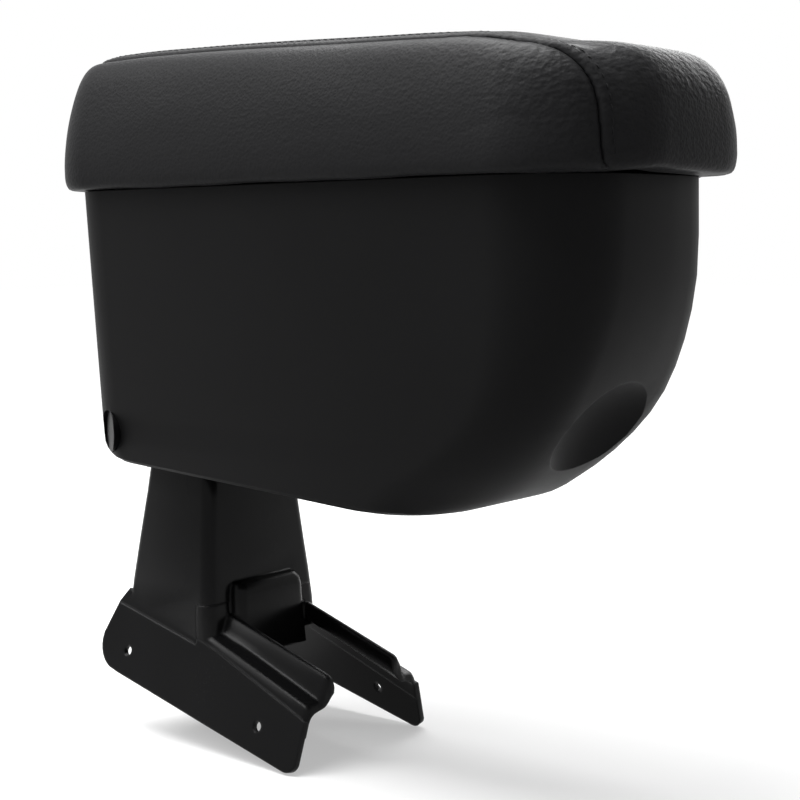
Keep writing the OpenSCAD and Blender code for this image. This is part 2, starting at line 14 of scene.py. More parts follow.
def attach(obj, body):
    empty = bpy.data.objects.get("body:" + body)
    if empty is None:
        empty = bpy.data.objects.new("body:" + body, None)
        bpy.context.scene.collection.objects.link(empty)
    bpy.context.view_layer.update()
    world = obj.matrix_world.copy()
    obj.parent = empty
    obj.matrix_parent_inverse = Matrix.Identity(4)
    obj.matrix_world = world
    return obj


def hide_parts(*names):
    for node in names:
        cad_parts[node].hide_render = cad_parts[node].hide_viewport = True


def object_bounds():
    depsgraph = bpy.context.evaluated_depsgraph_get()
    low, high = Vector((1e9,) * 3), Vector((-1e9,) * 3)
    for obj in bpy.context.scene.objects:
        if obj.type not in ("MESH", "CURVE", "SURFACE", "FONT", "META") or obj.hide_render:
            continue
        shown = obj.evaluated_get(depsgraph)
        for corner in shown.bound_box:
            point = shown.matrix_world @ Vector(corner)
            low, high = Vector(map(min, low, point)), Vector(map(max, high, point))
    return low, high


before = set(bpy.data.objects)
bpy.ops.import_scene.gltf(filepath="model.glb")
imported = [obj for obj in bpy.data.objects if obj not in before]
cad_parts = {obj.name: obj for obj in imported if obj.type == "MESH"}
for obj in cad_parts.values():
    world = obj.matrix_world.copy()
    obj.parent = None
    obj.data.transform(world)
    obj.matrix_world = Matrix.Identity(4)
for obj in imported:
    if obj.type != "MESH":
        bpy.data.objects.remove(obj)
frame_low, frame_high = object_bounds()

bl_info = {
    "name": "Car centre armrest",
    "version": (1, 0, 0),
    "blender": (4, 5, 0),
    "location": "3D View > Sidebar > Armrest",
    "description": "Dresses a tilting car armrest with its sewn cover, plastics and hardware",
    "category": "Object",
}

MM = 0.001
# The lid's rear lower end in the part's own frame, in millimetres.
LID_ORIGIN = np.array([-77.0, 0.0, 246.0])

# Cross-section of the cover, from the edge of the turned-in hem to the middle of the top, in millimetres:
# fixed height, share of the lid's height, inset at the sides and rear, inset at the nose.
COVER_SECTION = [
    (1.3, 0, 16.0, 16.8), (0.5, 0, 15.9, 16.7), (0.0, 0, 15.0, 15.9), (0.0, 0, 8.0, 9.0), (0.0, 0, 3.4, 4.4),
    (0.35, 0, 1.9, 2.7), (0, 0.026, 0.9, 1.5), (0, 0.06, 0.25, 0.8), (0, 0.12, 0.0, 0.25), (0, 0.21, 0.1, 0.0),
    (0, 0.33, 0.8, 0.05), (0, 0.45, 1.9, 0.7), (0, 0.55, 3.2, 1.5), (0, 0.64, 4.7, 2.6), (0, 0.72, 6.3, 4.2),
    (0, 0.79, 8.0, 6.3), (0, 0.85, 9.9, 8.7), (0, 0.90, 12.1, 11.8), (0, 0.938, 14.8, 15.6), (0, 0.964, 17.8, 20.2),
    (0, 0.982, 21.6, 26.4), (0, 0.993, 26.4, 34.4), (0, 1.001, 32.6, 44.6), (0, 1.007, 40.6, 55), (0, 1.011, 49.6, 66),
    (0, 1.013, 59.6, 78), (0, 1.014, 69.98, 90),
]
# Weight of the lid's height when the section's points are spaced out.
SECTION_HEIGHT = 62
# Along the lid: the top is highest at its crest, drops to the rear, falls to the nose and dips once more over it.
CREST, REAR_DROP, FALL_LENGTH, FALL_POWER, DIP_START, DIP_LENGTH = 70, 2, 215, 1.25, 262, 32
# Points of one ring of the cover in each of its parts.
FRONT_ARC, SIDE_RUN, REAR_ARC, REAR_RUN, NOSE_RUN = 58, 176, 40, 48, 34
# Side view of the seam where it runs down the nose's corner.
SEAM_FRONT = [(323.9, -6), (323.2, 0), (322.6, 12), (321.5, 22), (318.6, 31.5), (313.4, 39.3), (306.2, 45.2),
              (297, 48.8)]
# Distance of the seam's lower ends from the mid-plane.
SEAM_FOOT = 46.8
# Places along the seam, from its foot, with their reach: where the cover is creased most, where the strip beside
# the seam stands up, and where the side panel swells most.
CREASED, RIDGED, SWOLLEN = (62, 42), (84, 34), (72, 26)
# Distances from the seam, with their reach: the strip that stands up, the dip behind it, the topstitch's channel.
STRIP, DIP, CHANNEL_REACH = (2.9, 1.9), (14, 8), 0.85
CHANNEL_DEPTH = 0.42

# The stage: half the floor's size, the lamps' places and sizes, and the point that they are turned to.
FLOOR_SIZE = 6
LAMPS = {
    "top_lamp": ((-0.25, -0.10, 1.35), 1.3, 0.9),
    "rim_lamp": ((-0.15, 1.35, 0.85), 0.9, 0.5),
    "fill_lamp": ((-0.95, -0.88, 1.22), 0.8, 0.7),
}
LIT_CENTRE = Vector((0.09, 0, 0.14))
# The photograph's viewpoint, and its degrees round, down and tilted.
VIEWPOINT = (0.58286, -0.5679, 0.22224)
VIEW_ANGLES = (40.35, 5.91, -0.70)


# ---------------------------------------------------------------- sizes and colours

def length(name, description, value):
    return FloatProperty(name=name, description=description, default=value, unit="LENGTH", precision=4)


def colour(name, description, value):
    return FloatVectorProperty(name=name, description=description, default=value, subtype="COLOR",
                               size=3, min=0, max=1)


class ArmrestCoverSizes(bpy.types.PropertyGroup):
    """Sizes of the sewn cover"""
    lid_length: length("Lid length", "Length of the lid to its front corners", 0.330)
    nose_bow: length("Nose bow", "Forward bow of the nose beyond its corners", 0.006)
    half_width: length("Half width", "Half the width of the lid", 0.070)
    rear_height: length("Rear height", "Height of the lid near its rear", 0.066)
    nose_fall: length("Nose fall", "How much the top falls towards the nose", 0.009)
    nose_dip: length("Nose dip", "Further drop of the top over the nose", 0.0036)
    rear_corner: length("Rear corner", "Plan radius of the rear corners", 0.035)
    front_corner: length("Front corner", "Plan radius of the front corners", 0.048)
    thickness: length("Cover thickness", "Thickness of the cover", 0.0013)
    seam_depth: length("Seam depth", "How far the seam sinks into the foam", 0.0014)
    side_puff: length("Side puff", "How far the side panel swells beside the seam", 0.0011)
    corner_puff: length("Corner puff", "How much more it swells round the nose's upper corners", 0.0010)
    seam_ridge: length("Seam ridge", "Height of the strip between seam and topstitch round those corners", 0.0013)
    stitch_inset: length("Topstitch inset", "Distance of the topstitch from the seam", 0.005)
    stitch_length: length("Stitch length", "Length of one stitch", 0.0031)
    stitch_gap: length("Stitch gap", "Gap between two stitches", 0.0009)
    stitch_thickness: length("Thread thickness", "Diameter of the sewing thread", 0.00048)
    seam_share: FloatProperty(name="Seam height", description="Height of the top seam as a share of the lid's",
                              default=0.947, min=0.85, max=0.97)
    rings: IntProperty(name="Rings", description="Rings of the cover's mesh", default=92, min=40, max=140)
    seed: IntProperty(name="Crease seed", description="Seed of the cover's creases", default=11)


class ArmrestFinishes(bpy.types.PropertyGroup):
    """Colours of the armrest's materials"""
    cover: colour("Cover", "Grained imitation leather", (0.0094, 0.0094, 0.0099))
    thread: colour("Thread", "Sewing thread", (0.006, 0.006, 0.0065))
    box: colour("Box", "Satin moulded plastic of the box", (0.0050, 0.0050, 0.0052))
    foot: colour("Foot", "Glossier moulded plastic of the foot", (0.0036, 0.0036, 0.0038))
    rubber: colour("Rubber", "Mat, buffers and stop block", (0.012, 0.012, 0.012))
    foam: colour("Foam", "Polyurethane foam of the lid", (0.58, 0.52, 0.36))
    nylon: colour("Nylon", "Pivot bushes", (0.70, 0.68, 0.60))
    steel: colour("Steel", "Zinc-plated hardware", (0.56, 0.57, 0.58))
    hinge: colour("Hinge", "Black-coated hinge leaves", (0.018, 0.018, 0.019))


class ArmrestStudio(bpy.types.PropertyGroup):
    """Lamps and floor of the stage"""
    top_lamp: FloatProperty(name="Top lamp", description="Power of the wide lamp above", default=58, unit="POWER")
    rim_lamp: FloatProperty(name="Rim lamp", description="Power of the lamp behind the nose", default=8, unit="POWER")
    fill_lamp: FloatProperty(name="Fill lamp", description="Power of the lamp at the side", default=14,
                             unit="POWER")
    sky: FloatProperty(name="Sky", description="Strength of the even light all round", default=0.28, min=0)
    floor: colour("Floor", "Pale studio floor", (0.40, 0.40, 0.40))
    glow_near: FloatProperty(name="Glow near", description="Glow of the floor beside the object", default=0.42, min=0)
    glow_far: FloatProperty(name="Glow far", description="Glow of the floor far off", default=0.93, min=0)


# ---------------------------------------------------------------- shape of the cover

def through(points, count):
    """Points spaced evenly along a smooth curve through the given ones."""
    pts = np.array(points, float)
    step = np.maximum(np.linalg.norm(np.diff(pts, axis=0), axis=1), 1e-6)
    at = np.concatenate([[0], np.cumsum(step)])
    tangent = np.zeros_like(pts)
    slope = np.diff(pts, axis=0) / step[:, None]
    tangent[0], tangent[-1] = slope[0], slope[-1]
    tangent[1:-1] = (slope[:-1] * step[1:, None] + slope[1:] * step[:-1, None]) / (step[1:] + step[:-1])[:, None]
    fine = np.linspace(0, at[-1], count)
    k = np.clip(np.searchsorted(at, fine, side="right") - 1, 0, len(step) - 1)
    u = ((fine - at[k]) / step[k])[:, None]
    h = step[k][:, None]
    return ((2 * u**3 - 3 * u**2 + 1) * pts[k] + (u**3 - 2 * u**2 + u) * h * tangent[k]
            + (-2 * u**3 + 3 * u**2) * pts[k + 1] + (u**3 - u**2) * h * tangent[k + 1])


def lid_height(x, sizes):
    """Height of the lid's top along its length, in millimetres."""
    rear, fall, dip = sizes.rear_height / MM, sizes.nose_fall / MM, sizes.nose_dip / MM
    over = np.clip((x - DIP_START) / DIP_LENGTH, 0, 1)
    front = rear - fall * (np.maximum(x - CREST, 0) / FALL_LENGTH) ** FALL_POWER - dip * over * over * (3 - 2 * over)
    return np.where(x < CREST, rear - REAR_DROP * ((CREST - x) / CREST) ** 2, front)


def plan_ring(side_inset, nose_inset, sizes):
    """One ring of the lid's plan, the same number of points in each part at every inset."""
    half, long = sizes.half_width / MM, sizes.lid_length / MM
    keep = 1 - side_inset / half
    w = half - side_inset
    rear_r, front_r = sizes.rear_corner / MM * keep, sizes.front_corner / MM * keep
    x0, x1 = side_inset, long - nose_inset

    def line(a, b, n):
        return [(a[0] + (b[0] - a[0]) * i / n, a[1] + (b[1] - a[1]) * i / n) for i in range(n)]

    def corner(cx, cy, r, start, n):
        turns = [math.radians(start + 90 * i / n) for i in range(n)]
        return [(cx + r * math.cos(a), cy + r * math.sin(a)) for a in turns]

    pts = (corner(x1 - front_r, w - front_r, front_r, 0, FRONT_ARC)
           + line((x1 - front_r, w), (x0 + rear_r, w), SIDE_RUN)
           + corner(x0 + rear_r, w - rear_r, rear_r, 90, REAR_ARC)
           + line((x0, w - rear_r), (x0, -w + rear_r), REAR_RUN)
           + corner(x0 + rear_r, -w + rear_r, rear_r, 180, REAR_ARC)
           + line((x0 + rear_r, -w), (x1 - front_r, -w), SIDE_RUN)
           + corner(x1 - front_r, -w + front_r, front_r, 270, FRONT_ARC)
           + line((x1, -w + front_r), (x1, w - front_r), NOSE_RUN))
    ring = np.array(pts)
    bowed = ring[:, 0] > x1 - front_r
    ring[bowed, 0] += sizes.nose_bow / MM * (1 - (ring[bowed, 1] / w) ** 2)
    return ring


def cover_grid(sizes):
    """The cover's base form as an array of rings, in millimetres from the lid's rear lower end."""
    section = through([(fixed + SECTION_HEIGHT * share, side, nose, fixed, share)
                       for fixed, share, side, nose in COVER_SECTION], sizes.rings)
    rows = []
    for _, side, nose, fixed, share in section:
        ring = plan_ring(max(side, 0), max(nose, 0), sizes)
        z = fixed + share * lid_height(ring[:, 0], sizes)
        rows.append(np.column_stack([ring, z]))
    grid = np.array(rows)
    # The lower edge is drawn tight unevenly, so it waves a little along the nose and the sides.
    x, y, z = grid[..., 0], grid[..., 1], grid[..., 2]
    low = np.exp(-np.maximum(z, 0) / 9)
    nose_wave = (-0.3 * np.exp(-((np.abs(y) - 47) / 7) ** 2) + 0.9 * np.exp(-((y + 24) / 9) ** 2)
                 - 0.5 * np.exp(-((y - 20) / 14) ** 2))
    side_wave = 0.2 * np.sin(x / 17.0 + np.sign(y)) + 0.12 * np.sin(x / 7.3) - 0.34
    grid[..., 2] += low * np.where(x > 300, nose_wave, side_wave)
    return grid


def seam_line(sizes):
    """The seam seen from the side, as a dense line of x and z in millimetres."""
    top = [(x, sizes.seam_share * float(lid_height(np.array(float(x)), sizes))) for x in range(286, -40, -20)]
    return through(SEAM_FRONT + top, 900)


def seam_field(points, line):
    """Signed distance to the seam in side view: above zero on the top panel."""
    x, z = points[:, 0], points[:, 2]
    nearest = np.empty(len(points))
    at_once = 4000
    for start in range(0, len(points), at_once):
        part = slice(start, start + at_once)
        gap = (x[part, None] - line[None, :, 0]) ** 2 + (z[part, None] - line[None, :, 1]) ** 2
        nearest[part] = np.sqrt(gap.min(axis=1))
    order = np.argsort(line[:, 0])
    height = np.interp(x, line[order, 0], line[order, 1], right=-60)
    field = np.where(z > height, nearest, -nearest)
    # Under the nose the top panel's turned-in edge goes on inwards between the two seams.
    under = (z < 3) & (x > 285)
    field[under] = np.maximum(field[under], SEAM_FOOT - np.abs(points[under, 1]))
    return field


def cut_along_seam(grid, line):
    """A mesh of the grid whose faces are split along the seam. Returns it with the seam's vertices in order."""
    rings, around = grid.shape[:2]
    points = grid.reshape(-1, 3)
    field = seam_field(points, line)
    bm = bmesh.new()
    verts = [bm.verts.new(p) for p in points]
    for i in range(rings - 1):
        for j in range(around):
            k = (j + 1) % around
            bm.faces.new((verts[i * around + j], verts[i * around + k],
                          verts[(i + 1) * around + k], verts[(i + 1) * around + j]))
    # The last ring folds flat on the middle line, which closes the top.
    welded = bmesh.ops.find_doubles(bm, verts=verts[-around:], dist=0.1)["targetmap"]
    field = [f for v, f in zip(verts, field) if v not in welded]
    bmesh.ops.weld_verts(bm, targetmap=welded)
    side = bm.verts.layers.float.new("side")
    on_seam = bm.verts.layers.int.new("on_seam")
    bm.verts.layers.float.new("creased")
    for v, f in zip(bm.verts, field):
        v[side] = f
    for e in [e for e in bm.edges if e.verts[0][side] * e.verts[1][side] < 0]:
        a, b = e.verts
        share = min(0.95, max(0.05, a[side] / (a[side] - b[side])))
        new = bmesh.utils.edge_split(e, a, share)[1]
        new[side] = 0
        new[on_seam] = 1
    for f in list(bm.faces):
        marked = [v for v in f.verts if v[on_seam]]
        if len(marked) == 2 and len(f.verts) > 4:
            bmesh.utils.face_split(f, marked[0], marked[1])
    chain = {v: [e.other_vert(v) for e in v.link_edges if e.other_vert(v)[on_seam]] for v in bm.verts if v[on_seam]}
    ends = [v for v, near in chain.items() if len(near) == 1]
    if len(ends) != 2:
        raise RuntimeError(f"the seam has {len(ends)} ends and not two")
    path, seen = [ends[0]], {ends[0]}
    while True:
        onward = [v for v in chain[path[-1]] if v not in seen]
        if not onward:
            break
        path.append(onward[0])
        seen.add(onward[0])
    return bm, side, on_seam, path


def crinkle(p, stretch, seed):
    """Soft folds, from -1 to 1, longer one way than the other."""
    q = Vector((p[0] / stretch[0] + seed, p[1] / stretch[1] - seed, p[2] / stretch[2] + 2 * seed))
    ridge = 1 - 2 * abs(noise.noise(q))
    return 0.6 * ridge + 0.4 * noise.noise(q * 2.3)


def bell(value, middle, reach):
    """1 at the middle, and less with the distance from it."""
    return math.exp(-((value - middle) / reach) ** 2)


def dress_cover(sizes):
    """Build the two cover panels: puffed beside a sunken seam, creased at the nose's corners."""
    bm, side, on_seam, path = cut_along_seam(cover_grid(sizes), seam_line(sizes))
    bm.normal_update()
    seam = np.array([v.co for v in path])
    step = np.linalg.norm(np.diff(seam, axis=0), axis=1)
    along = np.concatenate([[0], np.cumsum(step)])
    dense = np.arange(0, along[-1], 0.25)
    dense_seam = np.column_stack([np.interp(dense, along, seam[:, c]) for c in range(3)])
    tree = KDTree(len(dense_seam))
    for i, p in enumerate(dense_seam):
        tree.insert(p, i)
    tree.balance()

    depth, puff, corner_puff = sizes.seam_depth / MM, sizes.side_puff / MM, sizes.corner_puff / MM
    ridge = sizes.seam_ridge / MM
    inset = sizes.stitch_inset / MM
    pitch = (sizes.stitch_length + sizes.stitch_gap) / MM
    total = along[-1]
    crease = bm.verts.layers.float["creased"]
    moved = []
    for v in bm.verts:
        co = v.co
        _, index, d = tree.find(co)
        s = dense[index]
        from_end = min(s, total - s)
        corner = bell(from_end, *CREASED)
        h = 0.0
        if v[on_seam]:
            h = -depth
            folds = 0.0
        elif v[side] > 0:
            h = -depth * math.exp(-d / 0.9) - CHANNEL_DEPTH * bell(d, inset, CHANNEL_REACH)
            # Each stitch puckers the strip between seam and topstitch.
            h += 0.16 * math.cos(2 * math.pi * s / pitch) * bell(d, inset * 0.6, 1.3)
            nose = max(0.0, min(1.0, (co.x - 285) / 25))
            band = bell(co.z, 42, 13) * nose
            folds = max(corner * math.exp(-d / 22) * (0.3 + 0.7 * nose), 0.75 * band)
            folds *= 1 - math.exp(-d / 2)
            h += 0.26 * folds * crinkle((s, d, co.y), (3.2, 11.0, 9.0), sizes.seed)
            bend = bell(from_end, *RIDGED)
            h += ridge * bend * bell(d, *STRIP)
            h -= 2.0 * corner_puff * bend * bell(d, *DIP)
        else:
            swell = puff + 0.8 * corner_puff * bell(from_end, *SWOLLEN)
            h = -depth * math.exp(-d / 1.6) + swell * (d / 9) * math.exp(1 - d / 9)
            folds = corner * math.exp(-d / 26) * (1 - math.exp(-d / 1.5))
            h += 0.2 * folds * crinkle((s, d, co.y), (12.0, 3.2, 12.0), sizes.seed + 5)
            h += 0.07 * folds * crinkle((s, d, co.z), (5.2, 6.0, 12.0), sizes.seed + 9)
        # The foam gives the flat sides a slow, shallow unevenness.
        h += 0.22 * noise.noise(Vector((co.x / 46, co.y / 30, co.z / 24)))
        # The turned-in hem lies flat under the lid.
        if co.z < 1.0 and abs(co.y) < 66 and v.normal.z < -0.5:
            h *= 0.2
        v[crease] = max(0.0, min(1.0, folds))
        moved.append(co + v.normal * h)
    for v, co in zip(bm.verts, moved):
        v.co = co
    seam = [(v.co + Vector(LID_ORIGIN)) * MM for v in path]
    # Round the hinge the cover is cut back from the base.
    notch = [f for f in bm.faces
             if all(w.co.x < 20.5 and abs(w.co.y) < 46 and w.co.z < 1.65 for w in f.verts)]
    bmesh.ops.delete(bm, geom=notch, context="FACES")
    for v in bm.verts:
        v.co = (v.co + Vector(LID_ORIGIN)) * MM
    bm.normal_update()
    return bm, seam


def panel_from(bm, top, name, sizes):
    """One panel of the cover as an object of its own, given its thickness."""
    part = bm.copy()
    layer = part.verts.layers.float["side"]

    def belongs(face):
        values = [v[layer] for v in face.verts]
        return (max(values, key=abs) > 0) == top

    bmesh.ops.delete(part, geom=[f for f in part.faces if not belongs(f)], context="FACES")
    bmesh.ops.delete(part, geom=[v for v in part.verts if not v.link_faces], context="VERTS")
    mesh = bpy.data.meshes.new(name)
    part.to_mesh(mesh)
    part.free()
    mesh.shade_smooth()
    panel = bpy.data.objects.new(name, mesh)
    bpy.context.collection.objects.link(panel)
    shell = panel.modifiers.new("Cover thickness", "SOLIDIFY")
    shell.thickness = sizes.thickness
    shell.offset = -1
    shell.use_even_offset = False
    return panel


def top_panel_middle(base):
    """A point on the mid-plane that the top panel lies towards, seen from a point of its seam."""
    if base.x > 0.236:
        return Vector((0.262, 0, 0.29))
    if base.x < -0.03:
        return Vector((0.0, 0, base.z + 0.02))
    return Vector((min(base.x, 0.2), 0, base.z + 0.02))


def sew_topstitch(bm, seam_points, sizes):
    """One short stitch after another along the top panel, sunk in its channel."""
    surface = BVHTree.FromBMesh(bm)
    seam = np.array(seam_points)
    step = np.linalg.norm(np.diff(seam, axis=0), axis=1)
    along = np.concatenate([[0], np.cumsum(step)])
    pitch = sizes.stitch_length + sizes.stitch_gap
    radius = sizes.stitch_thickness / 2
    # How far along the seam its direction is read, how far inwards the panel's lie, and from how far above its place.
    ahead, clear, above = 0.8 * MM, 7 * MM, 1 * MM
    unevenness = 0.08 * MM
    # No stitches on the ends of the seam, which run in under the nose.
    spared = 30 * MM
    sections, sides = 7, 8
    thread = bmesh.new()
    rnd = random.Random(sizes.seed)

    def on_seam(distance):
        return Vector([float(np.interp(distance, along, seam[:, c])) for c in range(3)])

    def on_panel(distance):
        """Place and normal of the panel beside the seam, and the way that the seam runs."""
        p = on_seam(distance)
        inwards = top_panel_middle(p) - p
        # The cover's lie is read clear of the sunken seam.
        normal = surface.find_nearest(p + inwards.normalized() * clear)[1]
        run = (on_seam(distance + ahead) - p).normalized()
        across = normal.cross(run).normalized()
        if across.dot(inwards) < 0:
            across = -across
        hit = surface.find_nearest(p + across * sizes.stitch_inset + normal * above)
        return hit[0], hit[1], run

    for i in range(int((along[-1] - 2 * spared) / pitch)):
        start = spared + i * pitch + rnd.uniform(-unevenness, unevenness)
        centre, normal, run = on_panel(start + sizes.stitch_length / 2)
        binormal = run.cross(normal).normalized()
        rings = []
        for k in range(sections):
            t = k / (sections - 1) * 2 - 1
            bulge = math.sqrt(max(0.0, 1 - abs(t) ** 3))
            # The thread rises in the middle of the stitch and dives at its ends.
            lift = radius * (0.75 * (1 - t * t) - 0.9 * t * t) + 0.1 * MM
            r = max(radius * bulge, radius * 0.25)
            c = centre + run * (t * sizes.stitch_length / 2) + normal * lift
            rings.append([thread.verts.new(c + (binormal * math.cos(a) + normal * math.sin(a)) * r)
                          for a in [2 * math.pi * m / sides for m in range(sides)]])
        for low, high in zip(rings, rings[1:]):
            for m in range(sides):
                n = (m + 1) % sides
                thread.faces.new((low[m], low[n], high[n], high[m]))
        thread.faces.new(rings[0][::-1])
        thread.faces.new(rings[-1])
    bmesh.ops.recalc_face_normals(thread, faces=thread.faces)
    mesh = bpy.data.meshes.new("cover_topstitch")
    thread.to_mesh(mesh)
    thread.free()
    mesh.shade_smooth()
    stitches = bpy.data.objects.new("cover_topstitch", mesh)
    bpy.context.collection.objects.link(stitches)
    return stitches


# ---------------------------------------------------------------- materials

class Finish:
    """A node material, built up step by step around one Principled shader."""

    def __init__(self, name):
        self.material = bpy.data.materials.new(name)
        self.material.use_nodes = True
        self.nodes = self.material.node_tree.nodes
        self.links = self.material.node_tree.links
        self.shader = self.nodes["Principled BSDF"]
        self.place = self.nodes.new("ShaderNodeTexCoord").outputs["Object"]

    def stretched(self, scale):
        """Object coordinates with a scale of their own each way."""
        mapping = self.nodes.new("ShaderNodeMapping")
        mapping.inputs["Scale"].default_value = scale
        self.links.new(self.place, mapping.inputs["Vector"])
        return mapping.outputs["Vector"]

    def cells(self, scale, vector=None, smooth=0.35):
        """Rounded cells, such as a leather's pebbles or a foam's pores."""
        tex = self.nodes.new("ShaderNodeTexVoronoi")
        tex.feature = "SMOOTH_F1"
        tex.inputs["Scale"].default_value = scale
        tex.inputs["Smoothness"].default_value = smooth
        tex.inputs["Randomness"].default_value = 1.0
        self.links.new(vector or self.place, tex.inputs["Vector"])
        return tex.outputs["Distance"]

    def grain(self, scale, detail=3.0, rough=0.55, vector=None):
        """Soft, irregular noise."""
        tex = self.nodes.new("ShaderNodeTexNoise")
        tex.inputs["Scale"].default_value = scale
        tex.inputs["Detail"].default_value = detail
        tex.inputs["Roughness"].default_value = rough
        self.links.new(vector or self.place, tex.inputs["Vector"])
        return tex.outputs["Fac"]

    def spread(self, value, low, high, start=0.0, end=1.0):
        """A value that runs from low to high while the given one runs from start to end."""
        node = self.nodes.new("ShaderNodeMapRange")
        node.inputs["From Min"].default_value = start
        node.inputs["From Max"].default_value = end
        node.inputs["To Min"].default_value = low
        node.inputs["To Max"].default_value = high
        self.links.new(value, node.inputs["Value"])
        return node.outputs["Result"]

    def combine(self, operation, a, b):
        """Two values or numbers joined by one step of arithmetic."""
        node = self.nodes.new("ShaderNodeMath")
        node.operation = operation
        for socket, value in zip(node.inputs, (a, b)):
            if isinstance(value, (int, float)):
                socket.default_value = value
            else:
                self.links.new(value, socket)
        return node.outputs["Value"]

    def between(self, low, high, value):
        """The base colour, mixed from two by a value from 0 to 1."""
        node = self.nodes.new("ShaderNodeMix")
        node.data_type = "RGBA"
        # A colour mix has its two colours at inputs 6 and 7, and its result at output 2.
        node.inputs[6].default_value = (*low, 1)
        node.inputs[7].default_value = (*high, 1)
        self.links.new(value, node.inputs["Factor"])
        self.links.new(node.outputs[2], self.shader.inputs["Base Color"])

    def bumped(self, height, strength, distance, under=None):
        """A normal raised by a height, on top of the one under it."""
        node = self.nodes.new("ShaderNodeBump")
        node.inputs["Strength"].default_value = strength
        node.inputs["Distance"].default_value = distance
        self.links.new(height, node.inputs["Height"])
        if under is not None:
            self.links.new(under, node.inputs["Normal"])
        return node.outputs["Normal"]

    def attribute(self, name):
        node = self.nodes.new("ShaderNodeAttribute")
        node.attribute_name = name
        return node.outputs["Fac"]

    def rounded(self, radius):
        """The normal of the form with its edges rounded."""
        bevel = self.nodes.new("ShaderNodeBevel")
        bevel.inputs["Radius"].default_value = radius
        return bevel.outputs["Normal"]

    def edge_wear(self, radius):
        """Near 1 on convex edges, from the angle between the true and the rounded normal."""
        shape = self.nodes.new("ShaderNodeNewGeometry")
        dot = self.nodes.new("ShaderNodeVectorMath")
        dot.operation = "DOT_PRODUCT"
        self.links.new(self.rounded(radius), dot.inputs[0])
        self.links.new(shape.outputs["Normal"], dot.inputs[1])
        return self.spread(dot.outputs["Value"], 1.0, 0.0, 0.90, 0.995)

    def to(self, socket, value):
        self.links.new(value, self.shader.inputs[socket])

    def set(self, **values):
        for name, value in values.items():
            self.shader.inputs[name.replace("_", " ")].default_value = value


def lighter(rgb, factor):
    return tuple(min(1.0, c * factor) for c in rgb)


def cover_leather(rgb):
    """Satin imitation leather: small pebbles, with drawn-out creases where the cover is gathered."""
    f = Finish("Cover leather")
    f.set(Specular_IOR_Level=0.04)
    pebbles = f.cells(760, smooth=0.5)
    fine = f.grain(2600, 2.0)
    folds = f.cells(300, f.stretched((1.0, 1.0, 1.5)), smooth=0.6)
    gathered = f.attribute("creased")
    slow = f.grain(14, 2.0)
    f.between(lighter(rgb, 0.72), lighter(rgb, 1.25), f.combine("ADD", f.combine("MULTIPLY", pebbles, 0.9), 0.5))
    rough = f.combine("ADD", f.spread(slow, 0.40, 0.52, 0.3, 0.7), f.spread(pebbles, 0.05, -0.03, 0.1, 0.7))
    f.to("Roughness", rough)
    height = f.combine("ADD", f.combine("MULTIPLY", pebbles, 0.9), f.combine("MULTIPLY", fine, 0.18))
    under = f.bumped(height, 0.32, 0.00035)
    deep = f.combine("MULTIPLY", folds, f.spread(gathered, 0.12, 1.0))
    f.to("Normal", f.bumped(deep, 0.55, 0.0009, under))
    return f.material


def sewing_thread(rgb):
    f = Finish("Sewing thread")
    f.set(Specular_IOR_Level=0.1)
    twist = f.grain(5200, 1.0, vector=f.stretched((1.0, 1.0, 0.4)))
    f.between(lighter(rgb, 0.7), lighter(rgb, 1.8), twist)
    f.to("Roughness", f.spread(twist, 0.6, 0.8))
    f.to("Normal", f.bumped(twist, 0.6, 0.0002))
    return f.material


def moulded_plastic(name, rgb, rough, specular, texture, depth, waviness, wear=1.5, edge=0.8 * MM):
    """Moulded plastic: an even spark-eroded texture, slow sink marks and slightly polished edges."""
    f = Finish(name)
    f.set(Specular_IOR_Level=specular)
    erosion = f.grain(texture, 3.0, 0.6)
    slow = f.grain(9, 2.0)
    edges = f.edge_wear(0.0012)
    f.between(lighter(rgb, 0.85), lighter(rgb, wear), f.combine("MAXIMUM", f.spread(slow, 0.0, 0.35, 0.3, 0.7), edges))
    worn = f.combine("ADD", f.spread(slow, rough - 0.03, rough + 0.04, 0.3, 0.7),
                     f.spread(erosion, -0.03, 0.03, 0.3, 0.7))
    f.to("Roughness", f.combine("SUBTRACT", worn, f.combine("MULTIPLY", edges, 0.08)))
    under = f.bumped(f.grain(22, 1.0), waviness, 0.0012, f.rounded(edge))
    f.to("Normal", f.bumped(erosion, depth, 0.00012, under))
    return f.material


def soft_rubber(rgb):
    f = Finish("Rubber")
    f.set(Specular_IOR_Level=0.3)
    dust = f.grain(60, 4.0)
    f.between(lighter(rgb, 0.8), lighter(rgb, 2.0), f.spread(dust, 0.0, 0.6, 0.4, 0.8))
    f.to("Roughness", f.spread(dust, 0.68, 0.85))
    f.to("Normal", f.bumped(f.cells(1500), 0.25, 0.0002))
    return f.material


def open_foam(rgb):
    f = Finish("Foam")
    f.set(Specular_IOR_Level=0.1)
    pores = f.cells(900, smooth=0.2)
    f.between(lighter(rgb, 0.55), lighter(rgb, 1.1), f.spread(pores, 0.2, 1.0, 0.0, 0.6))
    f.to("Roughness", f.spread(pores, 0.95, 0.85))
    f.to("Normal", f.bumped(pores, 0.7, 0.0006))
    return f.material


def turned_nylon(rgb):
    f = Finish("Nylon")
    f.set(Specular_IOR_Level=0.4, Subsurface_Weight=0.1, Subsurface_Scale=0.002)
    marks = f.grain(800, 2.0, vector=f.stretched((1.0, 6.0, 1.0)))
    f.between(lighter(rgb, 0.9), lighter(rgb, 1.05), marks)
    f.to("Roughness", f.spread(marks, 0.38, 0.5))
    f.to("Normal", f.bumped(marks, 0.15, 0.0001))
    return f.material


